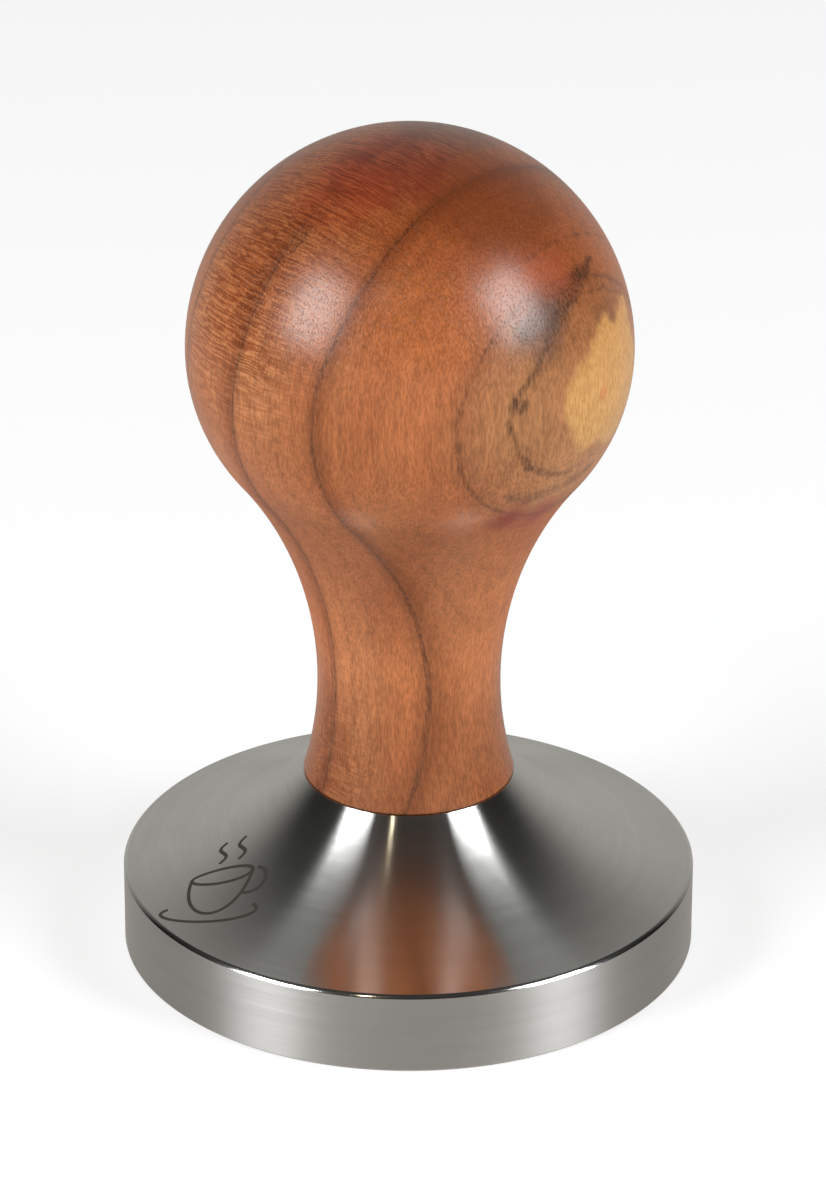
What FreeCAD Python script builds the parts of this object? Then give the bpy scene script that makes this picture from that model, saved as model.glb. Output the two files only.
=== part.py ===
"""Espresso tamper: a turned wooden handle screwed to a turned stainless steel base.

A headless M8 stud joins the two. It screws up into a brass insert in the handle, and down into a tapped
hole in the base, so the handle comes off by turning it. Units are millimetres. +Z runs up the turning axis,
and the origin is the centre of the flat tamping face.
"""

import FreeCAD
import Part
import Sketcher

import math
import os

# The driving dimensions. Every other size in the model follows from these.
DIMENSIONS = {
    # steel base
    "base_diameter": 58.0,
    "rim_height": 8.1,
    "rim_chamfer": 0.5,
    "foot_chamfer": 0.25,
    "seat_height": 18.7,
    "seat_diameter": 21.4,
    "flare_sweep": 33.0,
    "tapped_hole_depth": 12.0,
    "countersink_diameter": 9.2,
    # wooden handle
    "knob_sweep": 22.0,
    "knob_height": 65.1,
    "under_knob_sweep": 19.3,
    "waist_diameter": 18.4,
    "waist_height": 29.0,
    "handle_foot_diameter": 21.2,
    "handle_foot_round": 0.25,
    "insert_hole_depth": 17.5,
    "insert_hole_clearance": 0.05,
    # M8 set screw
    "stud_diameter": 8.0,
    "stud_length": 25.0,
    "stud_grip_in_base": 10.0,
    "stud_end_chamfer": 0.8,
    "socket_width": 4.0,
    "socket_depth": 5.0,
    "thread_pitch": 1.25,
    "thread_clearance": 0.05,
    "groove_depth_in_pitches": 0.6134,
    "groove_overrun_in_pitches": 0.1,
    "groove_root_in_pitches": 0.0625,
    "flank_angle": 30.0,
    # brass insert
    "insert_core_diameter": 10.4,
    "insert_ridge_diameter": 12.4,
    "insert_ridge_pitch": 3.0,
    "insert_ridge_embed": 0.2,
    "insert_ridge_foot": 0.9,
    "insert_ridge_crest": 0.15,
    "insert_length": 16.0,
    "insert_recess": 0.4,
    "insert_lead_chamfer": 0.6,
    "driver_slot_width": 1.6,
    "driver_slot_depth": 2.2,
}

START, END, CENTRE = 1, 2, 3
ORIGIN = (-1, START)
VERTICAL_AXIS = -2
DRILL_POINT_ANGLE = 118
COUNTERSINK_ANGLE = 90
HEXAGON_SIDES = 6
TOLERANCE = 1e-6
MM3_IN_CM3 = 1000

document = FreeCAD.newDocument("espresso_tamper")


# --- the sheet, and what ties a feature to it ---


def add_sheet():
    """The spreadsheet of driving dimensions, one alias to a row."""
    sheet = document.addObject("Spreadsheet::Sheet", "Dimensions")
    for row, (alias, value) in enumerate(DIMENSIONS.items(), start=1):
        sheet.set(f"A{row}", alias)
        sheet.set(f"B{row}", str(value))
        sheet.setAlias(f"B{row}", alias)
    document.recompute()


def in_sheet(formula):
    """The formula with each dimension's name pointed at its cell in the sheet."""
    return " ".join(f"Dimensions.{word}" if word in DIMENSIONS else word for word in formula.split())


def value_of(formula):
    return float(document.Dimensions.evalExpression(in_sheet(formula)))


def bind(feature, **formulas):
    """Ties each named property of the feature to its formula."""
    for name, formula in formulas.items():
        feature.setExpression(name, in_sheet(formula))


def add_body(name, height="0"):
    """A body of its own, standing at the height."""
    body = document.addObject("PartDesign::Body", name)
    body.Label = name
    body.setExpression(".Placement.Base.z", in_sheet(height))
    return body


# --- sketches ---


def add_sketch(body, name, role, height="0"):
    """A sketch on one of the body's own origin planes, raised along the plane's normal by the height."""
    plane = next(feature for feature in body.Origin.OriginFeatures if feature.Role == role)
    sketch = body.newObject("Sketcher::SketchObject", name)
    sketch.AttachmentSupport = [(plane, "")]
    sketch.MapMode = "FlatFace"
    sketch.setExpression(".AttachmentOffset.Base.z", in_sheet(height))
    return sketch


def constrain(sketch, kind, *places):
    return sketch.addConstraint(Sketcher.Constraint(kind, *places))


def measure(sketch, kind, name, formula, *places):
    """A named dimension of the sketch, tied to the sheet."""
    index = constrain(sketch, kind, *places, value_of(formula))
    sketch.renameConstraint(index, name)
    sketch.setExpression(f"Constraints.{name}", in_sheet(formula))


def place(sketch, name, vertex, across=None, up=None):
    """Dimensions a vertex from the sketch's origin: across along its first axis, up along its second."""
    if across:
        measure(sketch, "DistanceX", f"{name}_across", across, *ORIGIN, *vertex)
    if up:
        measure(sketch, "DistanceY", f"{name}_up", up, *ORIGIN, *vertex)


def line(start, end):
    return Part.LineSegment(FreeCAD.Vector(*start), FreeCAD.Vector(*end))


def arc(start, end, radius):
    """An arc from start to end. Its centre is left of the way there, or right of it for a negative radius."""
    start, end = FreeCAD.Vector(*start), FreeCAD.Vector(*end)
    half_way = (end - start) / 2
    left = FreeCAD.Vector(-half_way.y, half_way.x).normalize()
    rise = abs(radius) - math.sqrt(radius**2 - half_way.Length**2)
    return Part.Arc(start, start + half_way - left * math.copysign(rise, radius), end)


def end_at(sketch, side, joint):
    """Which end of the side lies at the joint. A sketch may store an arc the other way round."""
    return START if sketch.getPoint(side, START).distanceToPoint(joint) < TOLERANCE else END


def add_outline(sketch, sides, smooth=()):
    """Adds the sides, joined end to start in a ring, and returns the vertex that begins each of them. A
    side named in smooth meets the one before it without a corner."""
    sketch.addGeometry(sides)
    vertices = []
    for index, side in enumerate(sides):
        before = index - 1 if index else len(sides) - 1
        joint = side.StartPoint
        vertices.append((index, end_at(sketch, index, joint)))
        kind = "Tangent" if index in smooth else "Coincident"
        constrain(sketch, kind, before, end_at(sketch, before, joint), *vertices[index])
    return vertices


def add_ring_of_lines(sketch, corners):
    """A closed outline of straight sides through the corners."""
    return add_outline(sketch, [line(a, b) for a, b in zip(corners, corners[1:] + corners[:1])])


def add_circle(sketch, radius, is_guide=False):
    """A circle about the sketch's origin. A guide only carries other sides."""
    circle = Part.Circle(FreeCAD.Vector(), FreeCAD.Vector(0, 0, 1), radius)
    side = sketch.addGeometry(circle, is_guide)
    constrain(sketch, "Coincident", side, CENTRE, *ORIGIN)
    return side


def add_round(sketch, name, diameter):
    """A circle about the sketch's origin with its diameter tied to the sheet."""
    measure(sketch, "Diameter", name, diameter, add_circle(sketch, value_of(diameter) / 2))


def add_hexagon(sketch, name, width):
    """A regular hexagon about the sketch's origin, with two of its sides along the sketch's first axis."""
    radius = value_of(width) / 2 / math.cos(math.pi / HEXAGON_SIDES)
    turns = [2 * math.pi * corner / HEXAGON_SIDES for corner in range(HEXAGON_SIDES)]
    points = [(radius * math.cos(turn), radius * math.sin(turn)) for turn in turns]
    corners = add_ring_of_lines(sketch, points)
    guide = add_circle(sketch, radius, is_guide=True)
    for corner in corners:
        constrain(sketch, "PointOnObject", *corner, guide)
    for side in range(1, HEXAGON_SIDES):
        constrain(sketch, "Equal", 0, side)
    top_side, on_top, on_bottom = 1, corners[1], corners[4]
    constrain(sketch, "Horizontal", top_side)
    measure(sketch, "DistanceY", name, width, *on_bottom, *on_top)


# --- features ---


def add_feature(body, kind, name, sketch, **formulas):
    """A feature made from a sketch, with its sizes tied to the sheet."""
    feature = body.newObject(f"PartDesign::{kind}", name)
    feature.Profile = sketch
    bind(feature, **formulas)
    return feature


def revolve(body, name, sketch):
    """Turns the half section once round the body's own axis."""
    turned = add_feature(body, "Revolution", name, sketch)
    turned.ReferenceAxis = (sketch, ["V_Axis"])
    document.recompute()


def drill(body, name, height, diameter, depth, upward=False):
    """A blind drilled hole on the axis, from the face at the height, with the drill's own pointed end."""
    sketch = add_sketch(body, f"{name}_centre", "XY_Plane", height)
    add_round(sketch, "hole_width", diameter)
    document.recompute()
    hole = add_feature(body, "Hole", name, sketch)
    hole.ThreadType = "None"
    hole.DepthType = "Dimension"
    hole.DrillPoint = "Angled"
    hole.DrillPointAngle = DRILL_POINT_ANGLE
    hole.Reversed = upward
    bind(hole, Diameter=diameter, Depth=depth)
    document.recompute()
    return hole


def round_edges(body, height):
    """The names of the last feature's circular edges at the height."""
    names = []
    for index, edge in enumerate(body.Tip.Shape.Edges, start=1):
        is_circle = not edge.Degenerated and isinstance(edge.Curve, Part.Circle)
        if is_circle and abs(edge.Curve.Center.z - value_of(height)) < TOLERANCE:
            names.append(f"Edge{index}")
    return names


def dress_edges(body, kind, name, edges, **formulas):
    """A fillet or chamfer on the named edges of the last feature."""
    base = body.Tip
    dressed = body.newObject(f"PartDesign::{kind}", name)
    dressed.Base = (base, edges)
    bind(dressed, **formulas)
    document.recompute()


def wind_section(sketch, inner, outer, height, inner_half, outer_half):
    """A trapezoid beside the axis, lying level about the height, for a thread's groove or ridge."""
    near, far, level = value_of(inner), value_of(outer), value_of(height)
    narrow, wide = value_of(inner_half), value_of(outer_half)
    corners = [(near, level - narrow), (far, level - wide), (far, level + wide), (near, level + narrow)]
    low_near, low_far, high_far, high_near = add_ring_of_lines(sketch, corners)
    place(sketch, "low_near", low_near, inner, f"{height} - {inner_half}")
    place(sketch, "low_far", low_far, outer, f"{height} - {outer_half}")
    place(sketch, "high_far", high_far, outer, f"{height} + {outer_half}")
    place(sketch, "high_near", high_near, inner, f"{height} + {inner_half}")


def wind(body, kind, name, sketch, pitch, height):
    """Winds the section up the axis as a right-hand helix."""
    helix = add_feature(body, kind, name, sketch)
    helix.ReferenceAxis = (sketch, ["V_Axis"])
    helix.Mode = "pitch-height-angle"
    bind(helix, Pitch=pitch, Height=height)
    document.recompute()


# --- the four pieces ---


def make_tamper_base():
    """Solid steel: a flat face, a short straight rim, and a concave flare up to the seat of the handle."""
    body = add_body("tamper_base")
    rim, rim_height = value_of("base_diameter / 2"), value_of("rim_height")
    seat, seat_height = value_of("seat_diameter / 2"), value_of("seat_height")
    foot_chamfer, rim_chamfer = value_of("foot_chamfer"), value_of("rim_chamfer")
    corners = [
        (0, 0),
        (rim - foot_chamfer, 0),
        (rim, foot_chamfer),
        (rim, rim_height),
        (rim - rim_chamfer, rim_height + rim_chamfer),
        (seat, seat_height),
        (0, seat_height),
    ]
    sides = [line(a, b) for a, b in zip(corners, corners[1:] + corners[:1])]
    face_side, rim_side, flare_side, seat_side, axis_side = 0, 2, 4, 5, 6
    sides[flare_side] = arc(corners[flare_side], corners[seat_side], -value_of("flare_sweep"))

    section = add_sketch(body, "half_section", "XZ_Plane")
    centre, face, foot, rim_top, chamfer_top, seat_edge, _ = add_outline(section, sides)
    constrain(section, "Coincident", *centre, *ORIGIN)
    constrain(section, "Horizontal", face_side)
    constrain(section, "Vertical", rim_side)
    constrain(section, "Horizontal", seat_side)
    constrain(section, "Vertical", axis_side)
    place(section, "face_edge", face, "base_diameter / 2 - foot_chamfer")
    place(section, "foot_edge", foot, "base_diameter / 2", "foot_chamfer")
    place(section, "rim_top", rim_top, up="rim_height")
    place(section, "chamfer_top", chamfer_top, "base_diameter / 2 - rim_chamfer", "rim_height + rim_chamfer")
    place(section, "seat_edge", seat_edge, "seat_diameter / 2", "seat_height")
    measure(section, "Radius", "flare_radius", "flare_sweep", flare_side)
    revolve(body, "turned_base", section)

    bore = "stud_diameter + 2 * thread_clearance"
    hole = drill(body, "tapped_hole", "seat_height", bore, "tapped_hole_depth")
    hole.HoleCutType = "Countersink"
    hole.HoleCutCustomValues = True
    hole.HoleCutCountersinkAngle = COUNTERSINK_ANGLE
    bind(hole, HoleCutDiameter="countersink_diameter")
    return body


def make_wooden_handle():
    """Turned wood: a round crown, a full curve under the knob and a long hollow neck that widens downward."""
    body = add_body("wooden_handle")
    knob, knob_height = value_of("knob_sweep"), value_of("knob_height")
    waist, waist_height = value_of("waist_diameter / 2"), value_of("waist_height")
    foot, foot_height = value_of("handle_foot_diameter / 2"), value_of("seat_height")
    under = value_of("under_knob_sweep")
    # The upper neck's centre is level with the waist, and its arc runs into the under-knob arc smoothly.
    reach, rise = knob - under - waist, knob_height - waist_height
    upper_neck = (reach**2 + rise**2 - under**2) / (2 * (under + reach))
    share = upper_neck / (upper_neck + under)
    blend = (waist + upper_neck + share * (reach - upper_neck), waist_height + share * rise)
    drop, spread = waist_height - foot_height, foot - waist
    lower_neck = (drop**2 + spread**2) / (2 * spread)

    section = add_sketch(body, "half_section", "XZ_Plane")
    corners = [(0, foot_height), (foot, foot_height), (waist, waist_height), blend]
    corners += [(knob, knob_height), (0, knob_height + knob)]
    sides = [
        line(corners[0], corners[1]),
        arc(corners[1], corners[2], -lower_neck),
        arc(corners[2], corners[3], -upper_neck),
        arc(corners[3], corners[4], under),
        arc(corners[4], corners[5], knob),
        line(corners[5], corners[0]),
    ]
    foot_side, lower_arc, upper_arc, under_arc, knob_arc = 0, 1, 2, 3, 4
    vertices = add_outline(section, sides, smooth=[under_arc])
    centre, foot_edge, waist_point, _, equator, crown = vertices
    place(section, "foot_centre", centre, up="seat_height")
    constrain(section, "PointOnObject", *centre, VERTICAL_AXIS)
    constrain(section, "Horizontal", foot_side)
    place(section, "foot_edge", foot_edge, "handle_foot_diameter / 2")
    place(section, "waist", waist_point, "waist_diameter / 2", "waist_height")
    for level_arc, vertex in ((lower_arc, waist_point), (upper_arc, waist_point), (under_arc, equator)):
        constrain(section, "Horizontal", level_arc, CENTRE, *vertex)
    measure(section, "Radius", "under_knob_radius", "under_knob_sweep", under_arc)
    place(section, "equator", equator, "knob_sweep", "knob_height")
    constrain(section, "Horizontal", knob_arc, CENTRE, *equator)
    constrain(section, "PointOnObject", knob_arc, CENTRE, VERTICAL_AXIS)
    constrain(section, "PointOnObject", *crown, VERTICAL_AXIS)
    revolve(body, "turned_handle", section)

    dress_edges(body, "Fillet", "foot_round", round_edges(body, "seat_height"), Radius="handle_foot_round")
    bore = "insert_core_diameter + 2 * insert_hole_clearance"
    drill(body, "insert_hole", "seat_height", bore, "insert_hole_depth", upward=True)
    return body


def make_threaded_stud():
    """M8 set screw. Its hexagon socket faces down, so it stays reachable with the handle off."""
    body = add_body("threaded_stud", "seat_height - stud_grip_in_base")
    rod_sketch = add_sketch(body, "rod_circle", "XY_Plane")
    add_round(rod_sketch, "rod_width", "stud_diameter")
    add_feature(body, "Pad", "rod", rod_sketch, Length="stud_length")
    document.recompute()
    ends = round_edges(body, "0") + round_edges(body, "stud_length")
    dress_edges(body, "Chamfer", "end_chamfers", ends, Size="stud_end_chamfer")

    socket_sketch = add_sketch(body, "socket_hexagon", "XY_Plane")
    add_hexagon(socket_sketch, "flats", "socket_width")
    socket = add_feature(body, "Pocket", "hexagon_socket", socket_sketch, Length="socket_depth")
    socket.Reversed = True
    document.recompute()

    # The 60 degree groove starts and ends beyond the rod, so that the thread runs out over both chamfers.
    groove_sketch = add_sketch(body, "thread_groove", "XZ_Plane")
    root = "stud_diameter / 2 - groove_depth_in_pitches * thread_pitch"
    mouth = "stud_diameter / 2 + groove_overrun_in_pitches * thread_pitch"
    below = "-1 * thread_pitch"
    half_root = "groove_root_in_pitches * thread_pitch"
    slope = "( groove_depth_in_pitches + groove_overrun_in_pitches ) * tan( flank_angle * 1 deg )"
    half_mouth = f"( {slope} + groove_root_in_pitches ) * thread_pitch"
    wind_section(groove_sketch, root, mouth, below, half_root, half_mouth)
    wind(body, "SubtractiveHelix", "thread", groove_sketch, "thread_pitch", "stud_length + 2 * thread_pitch")
    return body


def make_threaded_insert():
    """Brass insert: tapped M8 inside, with a coarse outer ridge that bites the wood, and a driver slot."""
    body = add_body("threaded_insert", "seat_height + insert_recess")
    core_sketch = add_sketch(body, "core_circle", "XY_Plane")
    add_round(core_sketch, "core_width", "insert_core_diameter")
    add_feature(body, "Pad", "core", core_sketch, Length="insert_length")
    document.recompute()
    top_edge = round_edges(body, "insert_length")
    dress_edges(body, "Chamfer", "lead_chamfer", top_edge, Size="insert_lead_chamfer")

    ridge_sketch = add_sketch(body, "ridge_section", "XZ_Plane")
    inner = "insert_core_diameter / 2 - insert_ridge_embed"
    outer = "insert_ridge_diameter / 2"
    start = "insert_ridge_foot + 2 * insert_ridge_crest"
    wind_section(ridge_sketch, inner, outer, start, "insert_ridge_foot", "insert_ridge_crest")
    climb = "insert_length - insert_ridge_pitch"
    wind(body, "AdditiveHelix", "outer_ridge", ridge_sketch, "insert_ridge_pitch", climb)

    bore_sketch = add_sketch(body, "bore_circle", "XY_Plane")
    add_round(bore_sketch, "bore_width", "stud_diameter + 2 * thread_clearance")
    bore = add_feature(body, "Pocket", "tapped_bore", bore_sketch)
    bore.Type = "ThroughAll"
    bore.Reversed = True
    document.recompute()

    slot_sketch = add_sketch(body, "slot_rectangle", "XY_Plane")
    half_length, half_width = value_of("insert_ridge_diameter"), value_of("driver_slot_width / 2")
    corners = [(-half_length, -half_width), (half_length, -half_width), (half_length, half_width)]
    corners.append((-half_length, half_width))
    slot_corners = add_ring_of_lines(slot_sketch, corners)
    for side, way in enumerate(["Horizontal", "Vertical"] * 2):
        constrain(slot_sketch, way, side)
    near_corner, _, far_corner, _ = slot_corners
    constrain(slot_sketch, "Symmetric", *near_corner, *far_corner, *ORIGIN)
    place(slot_sketch, "far_corner", far_corner, "insert_ridge_diameter", "driver_slot_width / 2")
    slot = add_feature(body, "Pocket", "driver_slot", slot_sketch, Length="driver_slot_depth")
    slot.Reversed = True
    document.recompute()
    return body


# --- build, test and write ---


def check_document():
    """Stops if any object failed, or if a sketch's shape isn't fixed by its dimensions."""
    for item in document.Objects:
        if {"Invalid", "Error"} & set(item.State):
            raise RuntimeError(f"{item.Name} failed to compute")
        if item.TypeId == "Sketcher::SketchObject" and not item.FullyConstrained:
            raise RuntimeError(f"the sketch {item.Name} is loose")


def check_solid(body):
    """Stops unless the piece is one sound solid."""
    shape = body.Shape
    if shape.isNull() or not shape.isValid() or len(shape.Solids) != 1:
        raise RuntimeError(f"{body.Label} is not one sound solid")


add_sheet()
pieces = [make_tamper_base(), make_wooden_handle(), make_threaded_stud(), make_threaded_insert()]
document.recompute()
check_document()
for piece in pieces:
    check_solid(piece)

os.makedirs("parts", exist_ok=True)
for piece in pieces:
    piece.Shape.exportStep(f"parts/{piece.Label}.step")
    print(f"{piece.Label}: {piece.Shape.Volume / MM3_IN_CM3:.2f} cm3")
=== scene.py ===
"""Looks, light and camera for the espresso tamper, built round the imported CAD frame.

Lengths are in metres. The materials' own coordinates and the mark's drawing are in millimetres.
"""

import math

import bmesh
import bpy
from mathutils import Matrix, Vector


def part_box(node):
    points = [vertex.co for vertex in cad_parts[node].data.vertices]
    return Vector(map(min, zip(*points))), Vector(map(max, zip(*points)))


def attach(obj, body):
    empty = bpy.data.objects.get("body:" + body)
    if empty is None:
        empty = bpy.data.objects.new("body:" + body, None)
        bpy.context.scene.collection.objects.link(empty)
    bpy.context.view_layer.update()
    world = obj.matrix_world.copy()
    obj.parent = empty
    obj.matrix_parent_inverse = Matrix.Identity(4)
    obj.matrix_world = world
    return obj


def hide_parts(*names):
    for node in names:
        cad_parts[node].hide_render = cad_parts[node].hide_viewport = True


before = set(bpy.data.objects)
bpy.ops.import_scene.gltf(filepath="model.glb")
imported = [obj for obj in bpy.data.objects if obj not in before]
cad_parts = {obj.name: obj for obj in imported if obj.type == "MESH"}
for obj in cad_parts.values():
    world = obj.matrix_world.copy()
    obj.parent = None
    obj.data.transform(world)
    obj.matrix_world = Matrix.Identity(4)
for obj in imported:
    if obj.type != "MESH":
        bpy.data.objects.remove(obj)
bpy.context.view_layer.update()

MM = 0.001
MICRON = 0.001 * MM

# --- sizes: the main ones come from the frame, and the others shape what the frame's boxes don't say ---

RIM_RADIUS, _, SEAT_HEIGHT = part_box("tamper_base")[1]
KNOB_RADIUS, _, CROWN_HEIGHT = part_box("wooden_handle")[1]
KNOB_HEIGHT = CROWN_HEIGHT - KNOB_RADIUS
STUD_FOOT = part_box("threaded_stud")[0].z

FOOT_CHAMFER = 0.25 * MM
RIM_HEIGHT = 8.2 * MM
RIM_CHAMFER = 0.36 * MM
RIM_CROWN = 1.2 * MM
SEAT_RADIUS = 10.7 * MM
FLARE_SWEEP = 33 * MM
UNDER_KNOB_SWEEP = 19.3 * MM
WAIST_RADIUS = 9.2 * MM
WAIST_HEIGHT = 29 * MM
HANDLE_FOOT_RADIUS = 10.6 * MM
HANDLE_FOOT_ROUND = 0.25 * MM
THREAD_PITCH = 1.25 * MM
THREAD_RUNOUT = 0.7 * MM
BORE_RADIUS = 4.05 * MM
BORE_THREAD_DEPTH = 0.4 * MM
BORE_DEPTH = 12 * MM
COUNTERSINK_RADIUS = 4.6 * MM
INSERT_HOLE_RADIUS = 5.25 * MM
INSERT_HOLE_DEPTH = 17.5 * MM
DRILL_POINT = math.radians(118)
DRILL_SLOPE = 1 / math.tan(DRILL_POINT / 2)


# --- outlines and lathe work: an outline's point is (radius, height) ---

AROUND = 256


def arc_points(centre, radius, start, end, count):
    """Points on an arc from angle start to angle end, in degrees, both included."""
    step = (end - start) / (count - 1)
    turns = [math.radians(start + step * index) for index in range(count)]
    return [(centre[0] + radius * math.cos(a), centre[1] + radius * math.sin(a)) for a in turns]


def line_points(start, end, count):
    """Evenly spaced points on a line, both ends included."""
    (x0, y0), (x1, y1) = start, end
    shares = [index / (count - 1) for index in range(count)]
    return [(x0 + (x1 - x0) * share, y0 + (y1 - y0) * share) for share in shares]


def arc_centre(start, end, radius):
    """The centre of an arc through two points. It lies left of the way from start to end, or right of it if
    the radius is negative."""
    chord = Vector((end[0] - start[0], end[1] - start[1]))
    left = Vector((-chord.y, chord.x)).normalized()
    rise = math.sqrt(radius**2 - chord.length_squared / 4)
    return Vector(start) + chord / 2 + left * math.copysign(rise, radius)


def arc_between(start, end, radius, count):
    """Points on the short arc through two points. The radius's sign says which side its centre is on."""
    centre = arc_centre(start, end, radius)
    first = math.degrees(math.atan2(start[1] - centre.y, start[0] - centre.x))
    last = math.degrees(math.atan2(end[1] - centre.y, end[0] - centre.x))
    if last - first > 180:
        last -= 360
    if first - last > 180:
        last += 360
    return [start, *arc_points(centre, abs(radius), first, last, count)[1:-1], end]


def lathe(name, bands, materials):
    """Turns a closed outline about Z. A band is (points, material number) or, where its radius changes round
    the axis, (points, material number, shape): shape(radius, height, turn) gives the radius at a turn. Bands
    meet at sharp edges, and a point on the axis becomes a pole."""
    build = bmesh.new()
    rings = {}

    def key_of(radius, height):
        return round(radius, 9), round(height, 9)

    def ring(radius, height, shape):
        key = key_of(radius, height)
        if key not in rings:
            turns = [2 * math.pi * index / AROUND for index in range(AROUND)] if key[0] else [0.0]
            reach = [shape(radius, height, turn) if shape else radius for turn in turns]
            places = [(r * math.cos(turn), r * math.sin(turn), height) for r, turn in zip(reach, turns)]
            rings[key] = [build.verts.new(place) for place in places]
        return rings[key]

    for points, material, *shapes in bands:
        shape = shapes[0] if shapes else None
        for (r0, z0), (r1, z1) in zip(points, points[1:]):
            lower, upper = ring(r0, z0, shape), ring(r1, z1, shape)
            for index in range(AROUND):
                after = (index + 1) % AROUND
                corners = [lower[index % len(lower)], lower[after % len(lower)]]
                corners += [upper[after % len(upper)], upper[index % len(upper)]]
                face = build.faces.new(list(dict.fromkeys(corners)))
                face.material_index = material
                face.smooth = True
    for points, *_ in bands:
        circle = set(rings[key_of(*points[0])])
        for vertex in circle:
            for edge in vertex.link_edges:
                if edge.other_vert(vertex) in circle:
                    edge.smooth = False
    bmesh.ops.recalc_face_normals(build, faces=build.faces)
    return finish_mesh(name, build, materials)


def finish_mesh(name, build, materials):
    """Writes the built faces to a new mesh, and links an object that shows it."""
    mesh = bpy.data.meshes.new(name)
    build.to_mesh(mesh)
    build.free()
    for material in materials:
        mesh.materials.append(material)
    piece = bpy.data.objects.new(name, mesh)
    bpy.context.scene.collection.objects.link(piece)
    return piece


# --- a short way to write node trees ---


class Nodes:
    """Writes a node tree. Apart from add and feed, each method adds nodes and returns an output socket."""

    NUMBER_RESULTS = ("LENGTH", "DOT_PRODUCT", "DISTANCE")
    COLOUR_A, COLOUR_B, COLOUR_RESULT = 6, 7, 2

    def __init__(self, tree):
        self.tree = tree

    def add(self, kind, inputs=None, **properties):
        """Adds a node with its inputs, by name or number, and its properties, and returns the node."""
        node = self.tree.nodes.new(f"ShaderNode{kind}")
        for key, value in properties.items():
            setattr(node, key, value)
        for key, value in (inputs or {}).items():
            self.feed(node.inputs[key], value)
        return node

    def feed(self, socket, value):
        """Links an output socket to an input, or sets the input's own value."""
        if isinstance(value, bpy.types.NodeSocket):
            self.tree.links.new(value, socket)
        else:
            socket.default_value = value

    def place(self, start=(0, 0, 0)):
        """The place on the piece in millimetres, measured from a start."""
        where = self.add("TexCoord").outputs["Object"]
        shift = [-part for part in start]
        return self.add("Mapping", {"Vector": where, "Location": shift, "Scale": [1 / MM] * 3}).outputs[0]

    def math(self, operation, a, b=0.0, c=0.0, clamp=False):
        return self.add("Math", {0: a, 1: b, 2: c}, operation=operation, use_clamp=clamp).outputs[0]

    def vector(self, operation, a, b=(0, 0, 0)):
        node = self.add("VectorMath", {0: a, 1: b}, operation=operation)
        return node.outputs["Value" if operation in self.NUMBER_RESULTS else "Vector"]

    def combine(self, x, y, z=0.0):
        return self.add("CombineXYZ", {0: x, 1: y, 2: z}).outputs[0]

    def split(self, vector):
        """A vector's X, Y and Z, one socket each."""
        return self.add("SeparateXYZ", {0: vector}).outputs

    def noise(self, where, scale, detail=2.0, roughness=0.5):
        inputs = {"Vector": where, "Scale": scale, "Detail": detail, "Roughness": roughness}
        return self.add("TexNoise", inputs).outputs["Fac"]

    def stretched_noise(self, where, scales, detail=2.0, roughness=0.5):
        """Noise with a scale of its own along each axis."""
        return self.noise(self.vector("MULTIPLY", where, scales), 1.0, detail, roughness)

    def centred(self, noise, width):
        """Turns a noise from 0 to 1 into one about zero, as wide as given."""
        return self.math("MULTIPLY_ADD", noise, width, -width / 2)

    def shift(self, where, scale, detail, width):
        """A smooth random vector about zero, as wide as given along each axis."""
        colour = self.add("TexNoise", {"Vector": where, "Scale": scale, "Detail": detail}).outputs["Color"]
        return self.vector("MULTIPLY", self.vector("SUBTRACT", colour, (0.5, 0.5, 0.5)), [width] * 3)

    def linear(self, value, low, high, to_low=0.0, to_high=1.0, kind="LINEAR"):
        """Goes evenly from to_low to to_high as value goes from low to high, and no further."""
        inputs = {"Value": value, "From Min": low, "From Max": high, "To Min": to_low, "To Max": to_high}
        return self.add("MapRange", inputs, interpolation_type=kind).outputs["Result"]

    def smooth(self, value, low, high, to_low=0.0, to_high=1.0):
        """Goes gently from to_low to to_high as value goes from low to high, and no further."""
        return self.linear(value, low, high, to_low, to_high, "SMOOTHSTEP")

    def curve(self, value, stops):
        """The number at a value, on a smooth curve through (value, number) stops."""
        places, numbers = zip(*stops)
        low, high = min(places), max(places)
        bottom, top = min(numbers), max(numbers)
        node = self.add("FloatCurve", {"Value": self.linear(value, low, high)})
        shares = [((p - low) / (high - low), (number - bottom) / (top - bottom)) for p, number in stops]
        points = node.mapping.curves[0].points
        points[0].location, points[1].location = shares[0], shares[-1]
        for share in shares[1:-1]:
            points.new(*share)
        node.mapping.update()
        return self.linear(node.outputs["Value"], 0.0, 1.0, bottom, top)

    def ramp(self, value, stops):
        """The colour at a value, from (value, colour) stops."""
        low, high = stops[0][0], stops[-1][0]
        node = self.add("ValToRGB", {"Fac": self.linear(value, low, high)})
        elements = node.color_ramp.elements
        while len(elements) < len(stops):
            elements.new(1.0)
        for element, (place, colour) in zip(elements, stops):
            element.position = (place - low) / (high - low)
            element.color = (*colour, 1)
        return node.outputs["Color"]

    def mix(self, share, a, b, blend="MIX"):
        """Blends from colour a to colour b."""
        node = self.add("Mix", data_type="RGBA", blend_type=blend)
        self.feed(node.inputs["Factor"], share)
        for number, colour in ((self.COLOUR_A, a), (self.COLOUR_B, b)):
            linked = isinstance(colour, bpy.types.NodeSocket)
            self.feed(node.inputs[number], colour if linked else (*colour, 1))
        return node.outputs[self.COLOUR_RESULT]

    def scaled(self, colour, factors):
        """A colour whose channels are each multiplied by a factor."""
        return self.mix(1.0, colour, factors, "MULTIPLY")

    def bump(self, height, distance, strength=1.0):
        inputs = {"Height": height, "Distance": distance, "Strength": strength}
        return self.add("Bump", inputs).outputs["Normal"]


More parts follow.
